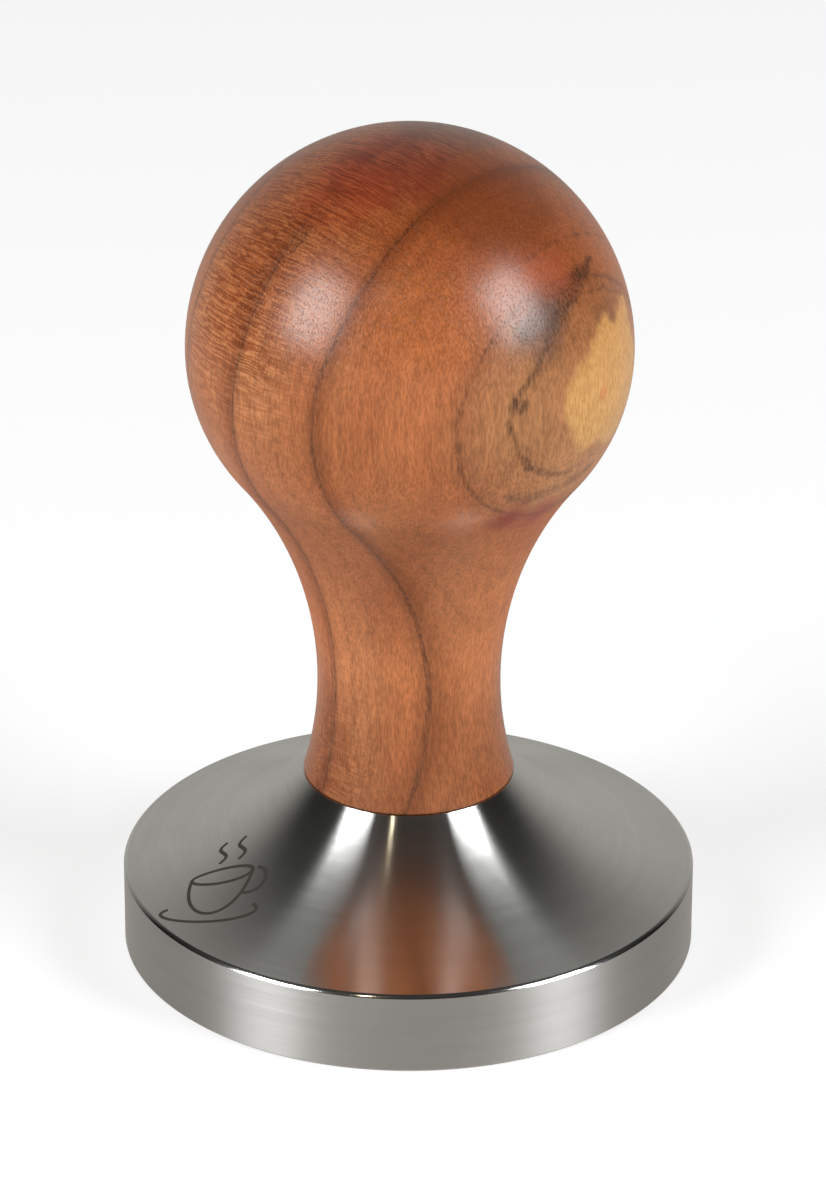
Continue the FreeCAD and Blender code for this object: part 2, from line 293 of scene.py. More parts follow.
class MaterialNodes(Nodes):
    """Writes the node tree of a new material, and sets its shader's inputs by name."""

    def __init__(self, name):
        self.material = bpy.data.materials.new(name)
        self.material.use_nodes = True
        super().__init__(self.material.node_tree)
        self.shader = self.tree.nodes["Principled BSDF"]

    def set(self, **sockets):
        for name, value in sockets.items():
            self.feed(self.shader.inputs[name.replace("_", " ")], value)


# --- wood, in millimetres ---

# The pith lies outside the turned piece, so the growth rings cross it as wide, gently curved sheets round a
# vertical line. The wood's coordinates are its growth, which is the distance from the pith less
# PITH_DISTANCE, the tangent round the pith, and the height.
PITH = Vector((-58, 47.5, 0))
PITH_DISTANCE = 75
KNOB_CENTRE = Vector((0, 0, KNOB_HEIGHT / MM))

RING_TONES = [
    # growth, colour
    (-24, (0.44, 0.17, 0.070)),
    (-15, (0.42, 0.155, 0.060)),
    (-10.5, (0.44, 0.155, 0.058)),
    (-4.0, (0.43, 0.145, 0.053)),
    (-1.6, (0.30, 0.090, 0.030)),
    (-0.6, (0.43, 0.150, 0.056)),
    (3.0, (0.46, 0.165, 0.064)),
    (7.2, (0.42, 0.140, 0.050)),
    (8.5, (0.33, 0.104, 0.034)),
    (10.0, (0.45, 0.155, 0.056)),
    (15.0, (0.45, 0.150, 0.053)),
    (17.2, (0.46, 0.160, 0.058)),
    (18.4, (0.42, 0.170, 0.070)),
    (20.5, (0.43, 0.190, 0.076)),
    (22.0, (0.42, 0.190, 0.080)),
]
RING_LINES = [
    # growth, half width, darkness
    (-19.6, 0.22, 0.45),
    (-15.2, 0.20, 0.30),
    (-11.9, 0.22, 0.75),
    (-1.1, 0.25, 0.75),
    (1.6, 0.60, 0.16),
    (4.2, 0.50, 0.20),
    (8.0, 0.26, 0.80),
    (10.4, 0.18, 0.22),
    (12.8, 0.18, 0.14),
    (17.8, 0.24, 0.60),
    (20.5, 0.16, 0.20),
]
# The rings lean outward a little as they climb.
RING_DRIFT = [
    # height, drift
    (18, -0.9),
    (31, -0.3),
    (45, 0.0),
    (62, 0.0),
    (75, 0.5),
    (88, 1.2),
]
# Tone along the height, partly the blank's own and partly painted shade and light: the foot is painted
# darker, the neck above it lighter, and the top darker.
HEIGHT_TONES_AND_SHADE = [
    # height, tone
    (19, 0.70),
    (26, 0.86),
    (34, 1.24),
    (44, 1.08),
    (50, 1.14),
    (56, 1.22),
    (62, 1.00),
    (76, 0.90),
    (84, 0.76),
    (88, 0.66),
]

# Sapwood shows where the knob bulges furthest one way, with a few bays and points along its edge.
SAPWOOD_WAY = Vector((0.895, -0.445, 0.005))
SAPWOOD_START = 20.77
SAPWOOD_EDGE = 0.44
SAPWOOD_BAYS = [
    # centre, radius, shift of the edge
    ((17.2, -12.2, 70.6), 4.0, 0.35),
    ((19.4, -8.0, 71.4), 1.8, 0.35),
    ((20.6, -3.6, 72.0), 3.0, -0.75),
    ((14.9, -16.1, 66.0), 3.5, -0.35),
    ((18.0, -11.0, 60.0), 4.0, 0.45),
]
SAPWOOD_FLECK = ((18.6, -11.7, 65.4), 0.75)

# Dark mineral streaks follow paths along the heartwood's edge and over the crown.
STREAK_SHAKE = 1.0
STREAKS = [
    # darkness, path of (point, half width)
    (0.46, [
        ((-11.1, -11.7, 80.0), 0.35),
        ((-7.1, -8.9, 83.9), 0.9),
        ((-4.1, -7.3, 85.4), 1.1),
        ((-0.7, -4.4, 86.6), 1.1),
        ((1.3, 0.5, 87.0), 0.8),
    ]),
    (0.45, [
        ((10.9, -12.6, 79.5), 0.2),
        ((13.2, -9.4, 79.9), 0.25),
        ((16.6, -4.2, 78.8), 0.25),
        ((19.0, 0.5, 76.5), 0.2),
    ]),
    (0.40, [((15.6, -11.5, 75.4), 0.25), ((18.5, -7.3, 74.5), 0.25), ((20.6, -3.4, 72.1), 0.25)]),
    (0.80, [
        ((17.3, -6.4, 77.1), 0.4),
        ((15.4, -11.0, 76.1), 1.2),
        ((13.2, -14.4, 74.9), 2.0),
        ((10.8, -16.9, 73.9), 1.1),
    ]),
    (0.60, [
        ((13.4, -14.8, 74.2), 1.1),
        ((12.9, -16.2, 72.2), 0.5),
        ((11.9, -17.8, 70.2), 0.38),
        ((9.9, -19.4, 67.8), 0.42),
    ]),
    (0.62, [((9.9, -19.4, 67.8), 0.35), ((10.6, -19.0, 67.1), 0.75)]),
    (0.60, [
        ((9.7, -19.5, 67.4), 0.35),
        ((9.4, -19.8, 65.6), 0.30),
        ((10.4, -19.1, 62.4), 0.35),
        ((11.4, -18.0, 60.4), 0.50),
    ]),
    (0.45, [((11.4, -18.0, 60.4), 0.5), ((13.3, -16.1, 58.9), 0.5), ((15.4, -13.0, 57.6), 0.4)]),
    (0.42, [
        ((9.3, -18.0, 57.6), 0.5),
        ((11.3, -16.4, 56.4), 0.9),
        ((14.1, -14.1, 56.2), 0.7),
        ((17.6, -10.0, 57.0), 0.7),
    ]),
]

# Red and dark stains lie at the heartwood's edge, under the knob and over the crown.
STAIN_EDGE = 1.6
STAINS = [
    # centre, radius, strength, colour
    ((12.4, -12.2, 78.2), 2.4, 0.34, (0.46, 0.110, 0.050)),
    ((14.2, -11.2, 77.4), 1.8, 0.38, (0.44, 0.100, 0.045)),
    ((11.0, -15.4, 76.1), 1.9, 0.30, (0.42, 0.110, 0.070)),
    ((19.0, -8.6, 72.2), 2.0, 0.50, (0.15, 0.070, 0.034)),
    ((12.2, -15.8, 73.4), 3.0, 0.58, (0.11, 0.052, 0.028)),
    ((7.5, -7.6, 84.3), 7.0, 0.50, (0.17, 0.045, 0.012)),
    ((9.4, -15.6, 53.8), 1.5, 0.80, (0.30, 0.045, 0.035)),
    ((12.4, -12.6, 53.0), 2.0, 0.70, (0.34, 0.055, 0.040)),
    ((-2.0, -5.0, 87.0), 6.0, 0.55, (0.20, 0.030, 0.018)),
    ((-6.5, -8.0, 84.5), 4.6, 0.45, (0.32, 0.055, 0.018)),
    ((3.5, 3.5, 86.5), 5.0, 0.65, (0.13, 0.045, 0.034)),
]

# Noise scales along growth, tangent and height, and about how many ray threads the knob has to a radian
SLOW_WANDER = (0.06, 0.06, 0.035)
QUICK_WANDER = (0.9, 0.5, 0.18)
PATCHES = (0.13, 0.10, 0.05)
FIBRES = (5.4, 5.4, 0.85)
SOFT_FIBRES = (1.5, 1.5, 0.12)
SAP_BLOTCHES = (0.9, 0.7, 0.40)
PORES = (8.0, 8.0, 1.5)
NECK_RAYS = (0.14, 5.6, 4.6)
KNOB_RAYS = (0.30, 0, 0)
KNOB_RAYS_PER_RADIAN = 128
KNOB_RAY_SWAY = 3.2
KNOB_RAY_CENTRE = Vector((0, PITH_DISTANCE * math.atan2(-PITH.y, -PITH.x), KNOB_CENTRE.z))

LINE_BROWN = (0.085, 0.030, 0.014)
STREAK_BROWN = (0.055, 0.025, 0.014)
PORE_BROWN = (0.13, 0.045, 0.020)
CREAM, PALE_CREAM = (0.53, 0.262, 0.083), (0.66, 0.360, 0.124)
FLECK_ORANGE = (0.60, 0.20, 0.07)
WOOD_RELIEF = 0.012 * MM


def wood_coordinates(n):
    """Straight (growth, tangent, height) coordinates, the growth with its drift and wander, and the height.
    The rings follow the second, and the grain the first."""
    from_pith = n.place(PITH)
    x, y, height = n.split(from_pith)
    distance = n.vector("LENGTH", n.vector("MULTIPLY", from_pith, (1, 1, 0)))
    tangent = n.math("MULTIPLY", n.math("ARCTAN2", y, x), PITH_DISTANCE)
    growth = n.math("SUBTRACT", distance, PITH_DISTANCE)
    straight = n.combine(growth, tangent, height)
    slow = n.centred(n.stretched_noise(straight, SLOW_WANDER, 1.0), 1.6)
    quick = n.centred(n.stretched_noise(straight, QUICK_WANDER), 0.34)
    drifted = n.math("SUBTRACT", growth, n.curve(height, RING_DRIFT))
    return straight, n.math("ADD", drifted, n.math("ADD", slow, quick)), height


def ball(n, where, centre, radius, edge):
    """1 within a blotchy ball about the centre, 0 outside it."""
    away = n.vector("DISTANCE", where, centre)
    ragged = n.math("MULTIPLY_ADD", n.noise(where, 0.35, 3.0), edge * 2, n.math("SUBTRACT", away, edge))
    return n.smooth(ragged, radius - edge, radius + edge, 1.0, 0.0)


def near_path(n, where, path):
    """1 along a path of (point, half width), falling to 0 just outside it."""
    nearest = None
    for (start, start_width), (end, end_width) in zip(path, path[1:]):
        start, way = Vector(start), Vector(end) - Vector(start)
        off = n.vector("SUBTRACT", where, start)
        share = n.math("DIVIDE", n.vector("DOT_PRODUCT", off, way), way.length_squared, clamp=True)
        foot = n.add("VectorMath", {0: way, "Scale": share}, operation="SCALE").outputs[0]
        width = n.math("MULTIPLY_ADD", share, end_width - start_width, start_width)
        ratio = n.math("DIVIDE", n.vector("DISTANCE", off, foot), width)
        nearest = ratio if nearest is None else n.math("MINIMUM", nearest, ratio)
    return n.smooth(nearest, 0.35, 1.5, 1.0, 0.0)


def ground_tone(n, straight, growth, height, fibre):
    """The colour by growth and height, with redder and yellower patches, and fibres along the grain."""
    colour = n.ramp(growth, RING_TONES)
    patches = n.stretched_noise(straight, PATCHES, 3.0)
    colour = n.mix(n.smooth(patches, 0.35, 0.65), n.scaled(colour, (0.90, 0.82, 0.78)), colour)
    soft_fibre = n.smooth(n.stretched_noise(straight, SOFT_FIBRES, 2.0, 0.6), 0.3, 0.7, 0.90, 1.10)
    tint = n.math("MULTIPLY", n.smooth(fibre, 0.32, 0.68, 0.83, 1.15), soft_fibre)
    colour = n.vector("MULTIPLY", colour, n.combine(tint, tint, tint))
    # The tones go into the ramp halved, so that none is above 1, and come out doubled.
    # The height tones hold painted shade and light as well as the wood's own tone: a darker foot, a lighter
    # neck and a darker top.
    halved = n.ramp(height, [(place, (tone / 2,) * 3) for place, tone in HEIGHT_TONES_AND_SHADE])
    return n.vector("MULTIPLY", colour, n.vector("MULTIPLY", halved, (2, 2, 2)))


def draw_rings(n, colour, growth, fibre):
    """The growth rings' edges: thin lines that the fibres break up, each in a soft dark band."""
    for place, half_width, darkness in RING_LINES:
        off = n.math("ABSOLUTE", n.math("SUBTRACT", growth, place))
        core = n.smooth(off, half_width * 0.3, half_width * 1.1, 1.0, 0.0)
        halo = n.smooth(off, 0.0, half_width * 4.5, 0.32, 0.0)
        broken = n.smooth(fibre, 0.30, 0.60, 1.0, 0.60)
        dark = n.math("MULTIPLY", n.math("MAXIMUM", n.math("MULTIPLY", core, broken), halo), darkness)
        colour = n.mix(dark, colour, LINE_BROWN)
    return colour


def draw_streaks(n, colour, where, fibre):
    """The dark mineral streaks, ragged and broken up by the fibres."""
    shaken = n.vector("ADD", where, n.shift(where, 0.8, 3.0, STREAK_SHAKE))
    for darkness, path in STREAKS:
        broken = n.smooth(fibre, 0.30, 0.62, darkness * 1.2, darkness * 0.65)
        colour = n.mix(n.math("MULTIPLY", near_path(n, shaken, path), broken), colour, STREAK_BROWN)
    return colour


def draw_stains(n, colour, where):
    """Soft-edged blotches of another colour."""
    for centre, radius, strength, tone in STAINS:
        share = n.math("MULTIPLY", ball(n, where, centre, radius, STAIN_EDGE), strength)
        colour = n.mix(share, colour, tone)
    return colour


def draw_sapwood(n, colour, where, straight, fibre):
    """The cream sapwood on the knob's side, with an uneven edge and one orange fleck."""
    along = n.vector("DOT_PRODUCT", n.vector("SUBTRACT", where, KNOB_CENTRE), SAPWOOD_WAY)
    for centre, radius, shift in SAPWOOD_BAYS:
        inside = n.smooth(n.vector("DISTANCE", where, centre), 0, radius, 1.0, 0.0)
        along = n.math("MULTIPLY_ADD", inside, -shift, along)
    blotches = n.stretched_noise(straight, SAP_BLOTCHES, 1.0, 0.6)
    edge = n.math("MULTIPLY_ADD", blotches, 0.45, along)
    cream = n.mix(n.smooth(fibre, 0.3, 0.7), CREAM, PALE_CREAM)
    fleck_centre, fleck_radius = SAPWOOD_FLECK
    fleck = ball(n, where, fleck_centre, fleck_radius, 0.4)
    cream = n.mix(n.math("MULTIPLY", fleck, 0.6), cream, FLECK_ORANGE)
    return n.mix(n.smooth(edge, SAPWOOD_START, SAPWOOD_START + SAPWOOD_EDGE), colour, cream)


def ray_threads(n, straight, height):
    """A noise drawn out into threads: on the knob they run like meridians about its growth axis, and on the
    neck along the growth."""
    from_centre = n.vector("MULTIPLY", n.vector("SUBTRACT", straight, KNOB_RAY_CENTRE), (0, 1, 1))
    per_radian = (0, KNOB_RAYS_PER_RADIAN, KNOB_RAYS_PER_RADIAN)
    bearing = n.vector("MULTIPLY", n.vector("NORMALIZE", from_centre), per_radian)
    swaying = n.vector("ADD", bearing, n.shift(straight, 0.35, 1.0, KNOB_RAY_SWAY))
    on_knob = n.vector("ADD", swaying, n.vector("MULTIPLY", straight, KNOB_RAYS))
    on_neck = n.vector("MULTIPLY", straight, NECK_RAYS)
    return n.noise(n.mix(n.smooth(height, 40, 48), on_neck, on_knob), 1.0, 0.0)


def ray_share(n, where, normal, up, growth, height):
    """How clearly the rays show: most where the surface follows them, and less to both sides, underneath
    and on the neck."""
    outward = n.vector("NORMALIZE", n.vector("MULTIPLY", n.vector("SUBTRACT", where, PITH), (1, 1, 0)))
    across = n.math("ABSOLUTE", n.vector("DOT_PRODUCT", normal, outward))
    share = n.smooth(across, 0.20, 0.75, 1.0, 0.05)
    for fade in (
        n.smooth(growth, -1.0, 9.0, 1.0, 0.35),
        n.smooth(up, -0.25, 0.30, 0.15, 1.0),
        n.smooth(growth, -12.8, -11.4, 0.2, 1.0),
        n.smooth(height, 32, 48, 0.55, 1.0),
    ):
        share = n.math("MULTIPLY", share, fade)
    return share


def oiled_wood():
    """Orange-brown fruitwood: rings, a grey-brown heartwood edge, cream sapwood, rays, pores and stains."""
    n = MaterialNodes("oiled_fruitwood")
    where = n.place()
    normal = n.add("TexCoord").outputs["Normal"]
    up = n.split(normal)[2]
    straight, growth, height = wood_coordinates(n)
    fibre = n.stretched_noise(straight, FIBRES, 1.0, 0.6)
    colour = ground_tone(n, straight, growth, height, fibre)
    colour = draw_rings(n, colour, growth, fibre)
    colour = draw_streaks(n, colour, where, fibre)
    colour = draw_stains(n, colour, where)
    colour = draw_sapwood(n, colour, where, straight, fibre)

    # rays: fine bright threads with darker gaps between them
    threads = ray_threads(n, straight, height)
    shows = ray_share(n, where, normal, up, growth, height)
    rays = n.math("MULTIPLY", n.smooth(threads, 0.49, 0.66), shows)
    colour = n.mix(n.math("MULTIPLY", rays, 0.80), colour, n.scaled(colour, (1.45, 1.76, 2.0)))
    gaps = n.math("MULTIPLY", n.smooth(threads, 0.34, 0.50, 1.0, 0.0), shows)
    colour = n.mix(n.math("MULTIPLY", gaps, 0.68), colour, n.scaled(colour, (0.62, 0.52, 0.45)))

    pores = n.smooth(n.stretched_noise(straight, PORES, 0.0), 0.62, 0.74)
    colour = n.mix(n.math("MULTIPLY", pores, 0.24), colour, PORE_BROWN)

    # the end grain on the crown drinks more oil
    end = n.smooth(up, -0.1, 0.9)
    colour = n.mix(end, colour, n.scaled(colour, (0.66, 0.50, 0.36)))

    # the neck under the knob is sanded less finely than the rest
    gloss = n.smooth(n.math("ADD", fibre, n.math("MULTIPLY", pores, 0.3)), 0.2, 1.0, 0.23, 0.37)
    dry = n.math("MULTIPLY", n.smooth(height, 30, 39), n.smooth(height, 51, 60, 0.22, 0.0))

    relief = n.math("SUBTRACT", n.math("ADD", fibre, n.math("MULTIPLY", rays, 0.3)), pores)
    n.set(
        Base_Color=colour,
        Roughness=n.math("ADD", gloss, dry),
        Normal=n.bump(relief, WOOD_RELIEF, 0.8),
        Specular_IOR_Level=0.38,
    )
    return n.material


# --- metal ---

STEEL = (0.56, 0.555, 0.535)
SATIN_STEEL = (0.56, 0.555, 0.54)
POLISHED_STEEL = (0.62, 0.61, 0.59)
BORE_STEEL = (0.42, 0.41, 0.40)
STUD_STEEL = (0.50, 0.50, 0.49)
BRASS = (0.78, 0.57, 0.25)
OXIDE_DARK, OXIDE_LIGHT = (0.010, 0.008, 0.006), (0.034, 0.028, 0.022)


def turned_metal(name, colour, roughness, anisotropy, lines="across", line_depth=0.4 * MICRON, contrast=0.1):
    """Metal cut on a lathe: fine lines run round the axis, so lights smear across them. They are spaced by
    the distance from the axis on a face, lines="across", or by height on a wall, lines="up"."""
    n = MaterialNodes(name)
    where = n.place()
    x, y, height = n.split(where)
    radius = n.vector("LENGTH", n.vector("MULTIPLY", where, (1, 1, 0)))
    angle = n.math("ARCTAN2", y, x)
    pace = radius if lines == "across" else height

    def cut_lines(per_mm, per_radian, detail, detail_share):
        place = n.combine(n.math("MULTIPLY", pace, per_mm), n.math("MULTIPLY", angle, per_radian))
        return n.noise(place, 1.0, detail, detail_share)

    fine, broad = cut_lines(9, 1.2, 3.0, 0.7), cut_lines(0.8, 0.5, 2.0, 0.5)
    cloud = n.noise(where, 0.12, 3.0)
    share = n.math("ADD", n.math("MULTIPLY", fine, 0.6), n.math("MULTIPLY", broad, 0.4))
    factors = (1 - contrast, 1 + contrast, 0.88)
    dim, bright, dull = ([min(part * factor, 1) for part in colour] for factor in factors)
    tone = n.mix(n.smooth(share, 0.3, 0.7), dim, bright)
    tone = n.mix(n.smooth(cloud, 0.3, 0.7, 0.0, 0.35), tone, dull)
    n.set(
        Base_Color=tone,
        Metallic=1.0,
        Roughness=n.smooth(fine, 0.25, 0.75, roughness * 0.94, roughness * 1.06),
        Anisotropic=anisotropy,
        Anisotropic_Rotation=0.25,
        Tangent=n.add("Tangent", direction_type="RADIAL", axis="Z").outputs[0],
    )
    if line_depth:
        n.set(Normal=n.bump(fine, line_depth))
    return n.material


def etched_dark():
    """Burnt, matt brown-black oxide left by the etching."""
    n = MaterialNodes("etched_dark")
    where = n.add("TexCoord").outputs["Object"]
    n.set(Base_Color=n.mix(n.noise(where, 4000), OXIDE_DARK, OXIDE_LIGHT), Roughness=0.60)
    return n.material


# --- pieces ---


def bore_thread(radius, height, turn):
    """The tapped wall: a V groove cut outward from the bore, fading out at both ends of the thread."""
    phase = (height - STUD_FOOT) / THREAD_PITCH + 0.5 - turn / (2 * math.pi)
    groove = 1 - abs(2 * (phase % 1) - 1)
    top, bottom = SEAT_HEIGHT - THREAD_RUNOUT, SEAT_HEIGHT - BORE_DEPTH + THREAD_RUNOUT
    fade = min(1, max(0, (top - height) / THREAD_PITCH), max(0, (height - bottom) / THREAD_PITCH))
    return radius + BORE_THREAD_DEPTH * fade * groove


def base_materials():
    """The steel base's finishes: its turned top, polished edges, satin wall, underside and bore."""
    return [
        # name, colour, roughness, anisotropy, and how the lines differ from the usual ones
        turned_metal("turned_top", STEEL, 0.175, 1.0, line_depth=0.08 * MICRON, contrast=0.06),
        turned_metal("polished_edge", POLISHED_STEEL, 0.12, 0.3, "up", line_depth=0, contrast=0.03),
        turned_metal("satin_wall", SATIN_STEEL, 0.37, 0.9, "up", line_depth=0.1 * MICRON, contrast=0.05),
        turned_metal("faced_underside", STEEL, 0.28, 0.8),
        turned_metal("cut_bore", BORE_STEEL, 0.35, 0.3, "up"),
    ]


def make_base():
    """The steel base, with a zone for each of its finishes."""
    top, edge, wall, face, bore = range(5)
    foot, rim = RIM_RADIUS - FOOT_CHAMFER, RIM_RADIUS - RIM_CHAMFER
    flare_foot = RIM_HEIGHT + RIM_CHAMFER
    sink_foot = SEAT_HEIGHT - (COUNTERSINK_RADIUS - BORE_RADIUS)
    bore_foot = SEAT_HEIGHT - BORE_DEPTH
    bands = [
        (line_points((0, 0), (foot, 0), 12), face),
        (line_points((foot, 0), (RIM_RADIUS, FOOT_CHAMFER), 2), edge),
        (line_points((RIM_RADIUS, FOOT_CHAMFER), (RIM_RADIUS, RIM_HEIGHT), 10), wall),
        (arc_between((RIM_RADIUS, RIM_HEIGHT), (rim, flare_foot), RIM_CROWN, 9), edge),
        (arc_between((rim, flare_foot), (SEAT_RADIUS, SEAT_HEIGHT), -FLARE_SWEEP, 64), top),
        (line_points((SEAT_RADIUS, SEAT_HEIGHT), (COUNTERSINK_RADIUS, SEAT_HEIGHT), 8), top),
        (line_points((COUNTERSINK_RADIUS, SEAT_HEIGHT), (BORE_RADIUS, sink_foot), 3), bore),
        (line_points((BORE_RADIUS, sink_foot), (BORE_RADIUS, bore_foot), 120), bore, bore_thread),
        (line_points((BORE_RADIUS, bore_foot), (0, bore_foot - BORE_RADIUS * DRILL_SLOPE), 4), bore),
    ]
    piece = lathe("steel_base", bands, base_materials())
    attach(piece, "base")
    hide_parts("tamper_base")
    return piece


def handle_outline(round_top):
    """The handle's outside, from the top of its rounded foot to the crown: four arcs. The two that form the
    neck meet upright at the waist, and the next two run on smoothly under the knob and over it."""
    drop, spread = WAIST_HEIGHT - round_top, HANDLE_FOOT_RADIUS - WAIST_RADIUS
    lower_neck = (drop**2 + spread**2) / (2 * spread)
    sweep_centre = (KNOB_RADIUS - UNDER_KNOB_SWEEP, KNOB_HEIGHT)
    reach, rise = sweep_centre[0] - WAIST_RADIUS, KNOB_HEIGHT - WAIST_HEIGHT
    upper_neck = (reach**2 + rise**2 - UNDER_KNOB_SWEEP**2) / (2 * (UNDER_KNOB_SWEEP + reach))
    neck_centre = (WAIST_RADIUS + upper_neck, WAIST_HEIGHT)
    tilt = math.degrees(math.atan2(rise, upper_neck - reach))
    outline = arc_between((HANDLE_FOOT_RADIUS, round_top), (WAIST_RADIUS, WAIST_HEIGHT), -lower_neck, 22)
    outline += arc_points(neck_centre, upper_neck, 180, 180 - tilt, 50)[1:]
    outline += arc_points(sweep_centre, UNDER_KNOB_SWEEP, -tilt, 0, 32)[1:]
    outline += arc_points((0, KNOB_HEIGHT), KNOB_RADIUS, 0, 90, 56)[1:-1]
    return outline + [(0, CROWN_HEIGHT)]


def make_handle():
    """The wooden handle, turned from one blank, with the insert's drilled hole in its foot."""
    foot = HANDLE_FOOT_RADIUS - HANDLE_FOOT_ROUND
    round_top = SEAT_HEIGHT + HANDLE_FOOT_ROUND
    hole_top = SEAT_HEIGHT + INSERT_HOLE_DEPTH
    wood = 0
    hole_tip = hole_top + INSERT_HOLE_RADIUS * DRILL_SLOPE
    bands = [
        (line_points((0, hole_tip), (INSERT_HOLE_RADIUS, hole_top), 4), wood),
        (line_points((INSERT_HOLE_RADIUS, hole_top), (INSERT_HOLE_RADIUS, SEAT_HEIGHT), 12), wood),
        (line_points((INSERT_HOLE_RADIUS, SEAT_HEIGHT), (foot, SEAT_HEIGHT), 6), wood),
        (arc_points((foot, round_top), HANDLE_FOOT_ROUND, -90, 0, 5), wood),
        (handle_outline(round_top), wood),
    ]
    piece = lathe("turned_handle", bands, [oiled_wood()])
    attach(piece, "handle")
    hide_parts("wooden_handle")
    return piece


def flare_height(radius):
    """The height of the base's flared top at a distance from the axis."""
    rim = (RIM_RADIUS - RIM_CHAMFER, RIM_HEIGHT + RIM_CHAMFER)
    centre = arc_centre(rim, (SEAT_RADIUS, SEAT_HEIGHT), -FLARE_SWEEP)
    return centre.y - math.sqrt(FLARE_SWEEP**2 - (radius - centre.x) ** 2)


MARK_CENTRE = Vector((-18.7, -11.0)) * MM
MARK_TURN = math.radians(-15)
MARK_STROKE = 0.36 * MM
MARK_PROUD = 0.012 * MM
MARK_SUNK = 0.03 * MM


def oval(centre, half_width, half_depth, start=0, end=360, count=40):
    """Points on an oval between two angles in degrees. A whole oval doesn't repeat its first point."""
    last = count if end - start == 360 else count + 1
    turns = [math.radians(start + (end - start) * index / count) for index in range(last)]
    return [(centre[0] + half_width * math.cos(a), centre[1] + half_depth * math.sin(a)) for a in turns]


def mark_strokes():
    """A plain cup on a saucer with two curls of steam: (points, is closed), in millimetres."""
    mouth = oval((-0.4, 1.6), 3.2, 1.0)
    bowl = oval((-0.4, 1.6), 3.2, 5.2, start=180, end=360)
    grip = oval((3.0, 0.3), 1.5, 1.5, start=-115, end=80, count=20)
    saucer = oval((-0.4, -3.4), 5.0, 1.4, start=152, end=388, count=30)
    strokes = [(mouth, True), (bowl, False), (grip, False), (saucer, False)]
    sway, foot, rise, steps = 0.5, 3.5, 3.0, 16
    for x in (-1.3, 0.7):
        shares = [index / steps for index in range(steps + 1)]
        curl = [(x + sway * math.sin(2 * math.pi * share), foot + rise * share) for share in shares]
        strokes.append((curl, False))
    return strokes


def make_mark():
    """A generic etched mark: thin dark strokes that follow the flare, just proud of it."""
    build = bmesh.new()
    cos, sin = math.cos(MARK_TURN), math.sin(MARK_TURN)

    def on_flare(point, lift):
        x = MARK_CENTRE.x + point[0] * cos - point[1] * sin
        y = MARK_CENTRE.y + point[0] * sin + point[1] * cos
        return Vector((x, y, flare_height(math.hypot(x, y)) + lift))

    for stroke, closed in mark_strokes():
        points = [Vector(point) * MM for point in stroke]
        count = len(points)
        columns = []
        for index, point in enumerate(points):
            before = points[index - 1] if index or closed else point
            after = points[(index + 1) % count] if index + 1 < count or closed else point
            way = (after - before).normalized()
            side = Vector((-way.y, way.x)) * MARK_STROKE / 2
            corners = ((side, -MARK_SUNK), (-side, -MARK_SUNK), (-side, MARK_PROUD), (side, MARK_PROUD))
            columns.append([build.verts.new(on_flare(point + offset, lift)) for offset, lift in corners])
        spans = count if closed else count - 1
        for index in range(spans):
            here, there = columns[index], columns[(index + 1) % count]
            for corner in range(4):
                following = (corner + 1) % 4
                build.faces.new((here[corner], here[following], there[following], there[corner]))
        if not closed:
            build.faces.new(columns[0][::-1])
            build.faces.new(columns[-1])
    bmesh.ops.recalc_face_normals(build, faces=build.faces)
    piece = finish_mesh("etched_mark", build, [etched_dark()])
    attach(piece, "base")
    return piece


def dress(node, material):
    """Gives a CAD node its material."""
    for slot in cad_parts[node].material_slots:
        slot.material = material


# --- floor, light and camera ---

FLOOR_REACH = 6.0
FLOOR_DROP = 0.02 * MM
FLOOR_GREY = (0.36, 0.36, 0.36, 1)
FLOOR_GLOW = 0.60

LIGHT_AIM = Vector((0, 0, 45)) * MM
LIGHT_DISTANCE = 1.0
COOL_WHITE = (0.97, 0.99, 1.0)
WARM_WHITE = (1.0, 0.86, 0.6)

# The room's light by direction: each pair is the light low down and high up.
BACKDROP_LIGHT = (0.52, 0.135)
FRONT_LIGHT = (0.70, 0.0)
CEILING_LIGHT = (0.012, 0.05)
GROUND_LIGHT = 0.50
GROUND_FALL_TO_BACK = -0.02
ROOM_TINT, GROUND_TINT = (1.0, 0.985, 0.93), (1.0, 0.935, 0.88)

CAMERA_AIM = Vector((0.385, 0, 37.46)) * MM
CAMERA_DISTANCE = 600 * MM
CAMERA_ELEVATION = math.radians(26.11)
CAMERA_ROLL = math.radians(0.165)
CAMERA_LENS = 180.26
CAMERA_SENSOR = 36
CAMERA_REACH = (0.01, 50)


def make_floor():
    """A plain pale floor, wide enough to fill every view. Only the camera sees it: the room's lower half
    stands for its light on the piece, so that it doesn't wash out the steel."""
    n = MaterialNodes("pale_floor")
    n.set(Base_Color=FLOOR_GREY, Roughness=0.9, Specular_IOR_Level=0.1)
    n.set(Emission_Color=(1, 1, 1, 1), Emission_Strength=FLOOR_GLOW)
    build = bmesh.new()
    bmesh.ops.create_grid(build, x_segments=1, y_segments=1, size=FLOOR_REACH)
    floor = finish_mesh("floor", build, [n.material])
    floor.location.z = -FLOOR_DROP
    floor.visible_diffuse = False
    floor.visible_glossy = False
    floor.visible_shadow = False
    return floor


def make_softbox(name, turn, rise, width, height, power, colour):
    """A rectangular softbox that faces the piece. Its turn is from the front, towards +X, and it rises from
    the floor, both in degrees."""
    data = bpy.data.lights.new(name, "AREA")
    data.shape = "RECTANGLE"
    data.size, data.size_y, data.energy, data.color = width, height, power, colour
    lamp = bpy.data.objects.new(name, data)
    turn, rise = math.radians(turn), math.radians(rise)
    way = Vector((math.sin(turn) * math.cos(rise), -math.cos(turn) * math.cos(rise), math.sin(rise)))
    lamp.location = LIGHT_AIM + way * LIGHT_DISTANCE
    lamp.rotation_mode = "QUATERNION"
    lamp.rotation_quaternion = (-way).to_track_quat("-Z", "Y")
    lamp.visible_camera = False
    bpy.context.scene.collection.objects.link(lamp)
    return lamp


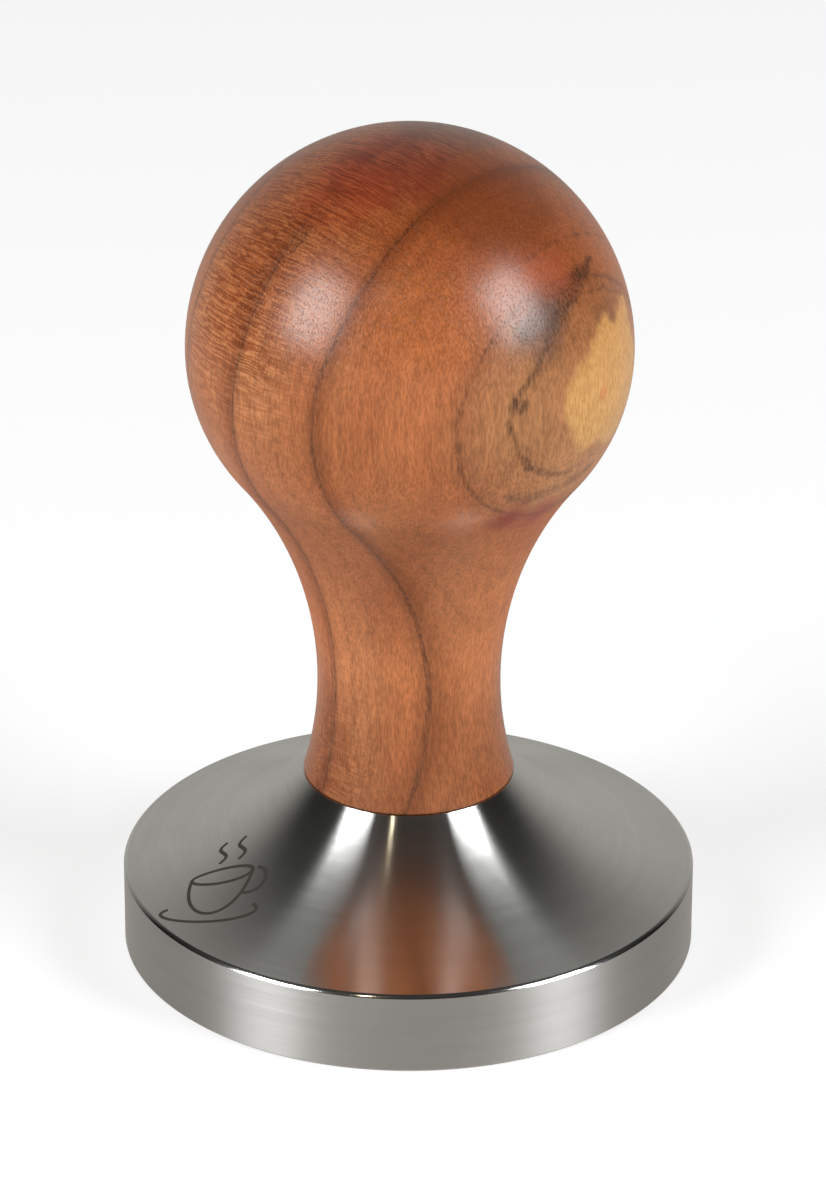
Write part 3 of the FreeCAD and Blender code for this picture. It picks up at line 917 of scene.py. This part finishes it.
def make_room():
    """The light of the room by direction: a pale backdrop low down behind, some light from low down in
    front, dim sides and ceiling, and the floor's light from below."""
    world = bpy.data.worlds.new("room")
    world.use_nodes = True
    bpy.context.scene.world = world
    n = Nodes(world.node_tree)
    where = n.add("TexCoord").outputs["Generated"]
    x, y, z = n.split(where)
    level = n.vector("LENGTH", n.vector("MULTIPLY", where, (1, 1, 0)))
    back = n.math("DIVIDE", y, n.math("MAXIMUM", level, 0.001))
    backdrop = n.math("MULTIPLY", n.smooth(back, 0.40, 0.95), n.smooth(z, 0.35, 0.88, *BACKDROP_LIGHT))
    front = n.math("MULTIPLY", n.smooth(back, -0.1, -0.8), n.smooth(z, 0.0, 0.45, *FRONT_LIGHT))
    ceiling = n.smooth(z, 0.2, 0.9, *CEILING_LIGHT)
    upper = n.math("ADD", n.math("ADD", backdrop, front), ceiling)
    ground = n.math("MULTIPLY_ADD", y, GROUND_FALL_TO_BACK, GROUND_LIGHT)
    above = n.smooth(z, -0.22, -0.02)
    background = world.node_tree.nodes["Background"]
    n.feed(background.inputs["Strength"], n.mix(above, ground, upper))
    n.feed(background.inputs["Color"], n.mix(above, GROUND_TINT, ROOM_TINT))


def make_camera():
    """A long lens that looks down at the tamper from the front."""
    data = bpy.data.cameras.new("camera")
    data.lens, data.sensor_width = CAMERA_LENS, CAMERA_SENSOR
    data.clip_start, data.clip_end = CAMERA_REACH
    camera = bpy.data.objects.new("camera", data)
    back = Vector((0, -math.cos(CAMERA_ELEVATION), math.sin(CAMERA_ELEVATION)))
    roll = Matrix.Rotation(CAMERA_ROLL, 3, "Z").to_quaternion()
    camera.location = CAMERA_AIM + back * CAMERA_DISTANCE
    camera.rotation_mode = "QUATERNION"
    camera.rotation_quaternion = (-back).to_track_quat("-Z", "Y") @ roll
    bpy.context.scene.collection.objects.link(camera)
    bpy.context.scene.camera = camera


make_base()
make_handle()
make_mark()
dress("threaded_stud", turned_metal("stud_steel", STUD_STEEL, roughness=0.28, anisotropy=0.3, lines="up"))
dress("threaded_insert", turned_metal("insert_brass", BRASS, roughness=0.30, anisotropy=0.4, lines="up"))
make_floor()
make_softbox("softbox_left", turn=-58.5, rise=31, width=0.43, height=0.54, power=10.9, colour=COOL_WHITE)
make_softbox("softbox_right", turn=64.5, rise=31, width=0.43, height=0.54, power=10.9, colour=COOL_WHITE)
make_softbox("small_lamp", turn=-20, rise=50, width=0.035, height=0.10, power=0.25, colour=WARM_WHITE)
make_room()
make_camera()
bpy.context.scene.view_settings.view_transform = "Standard"
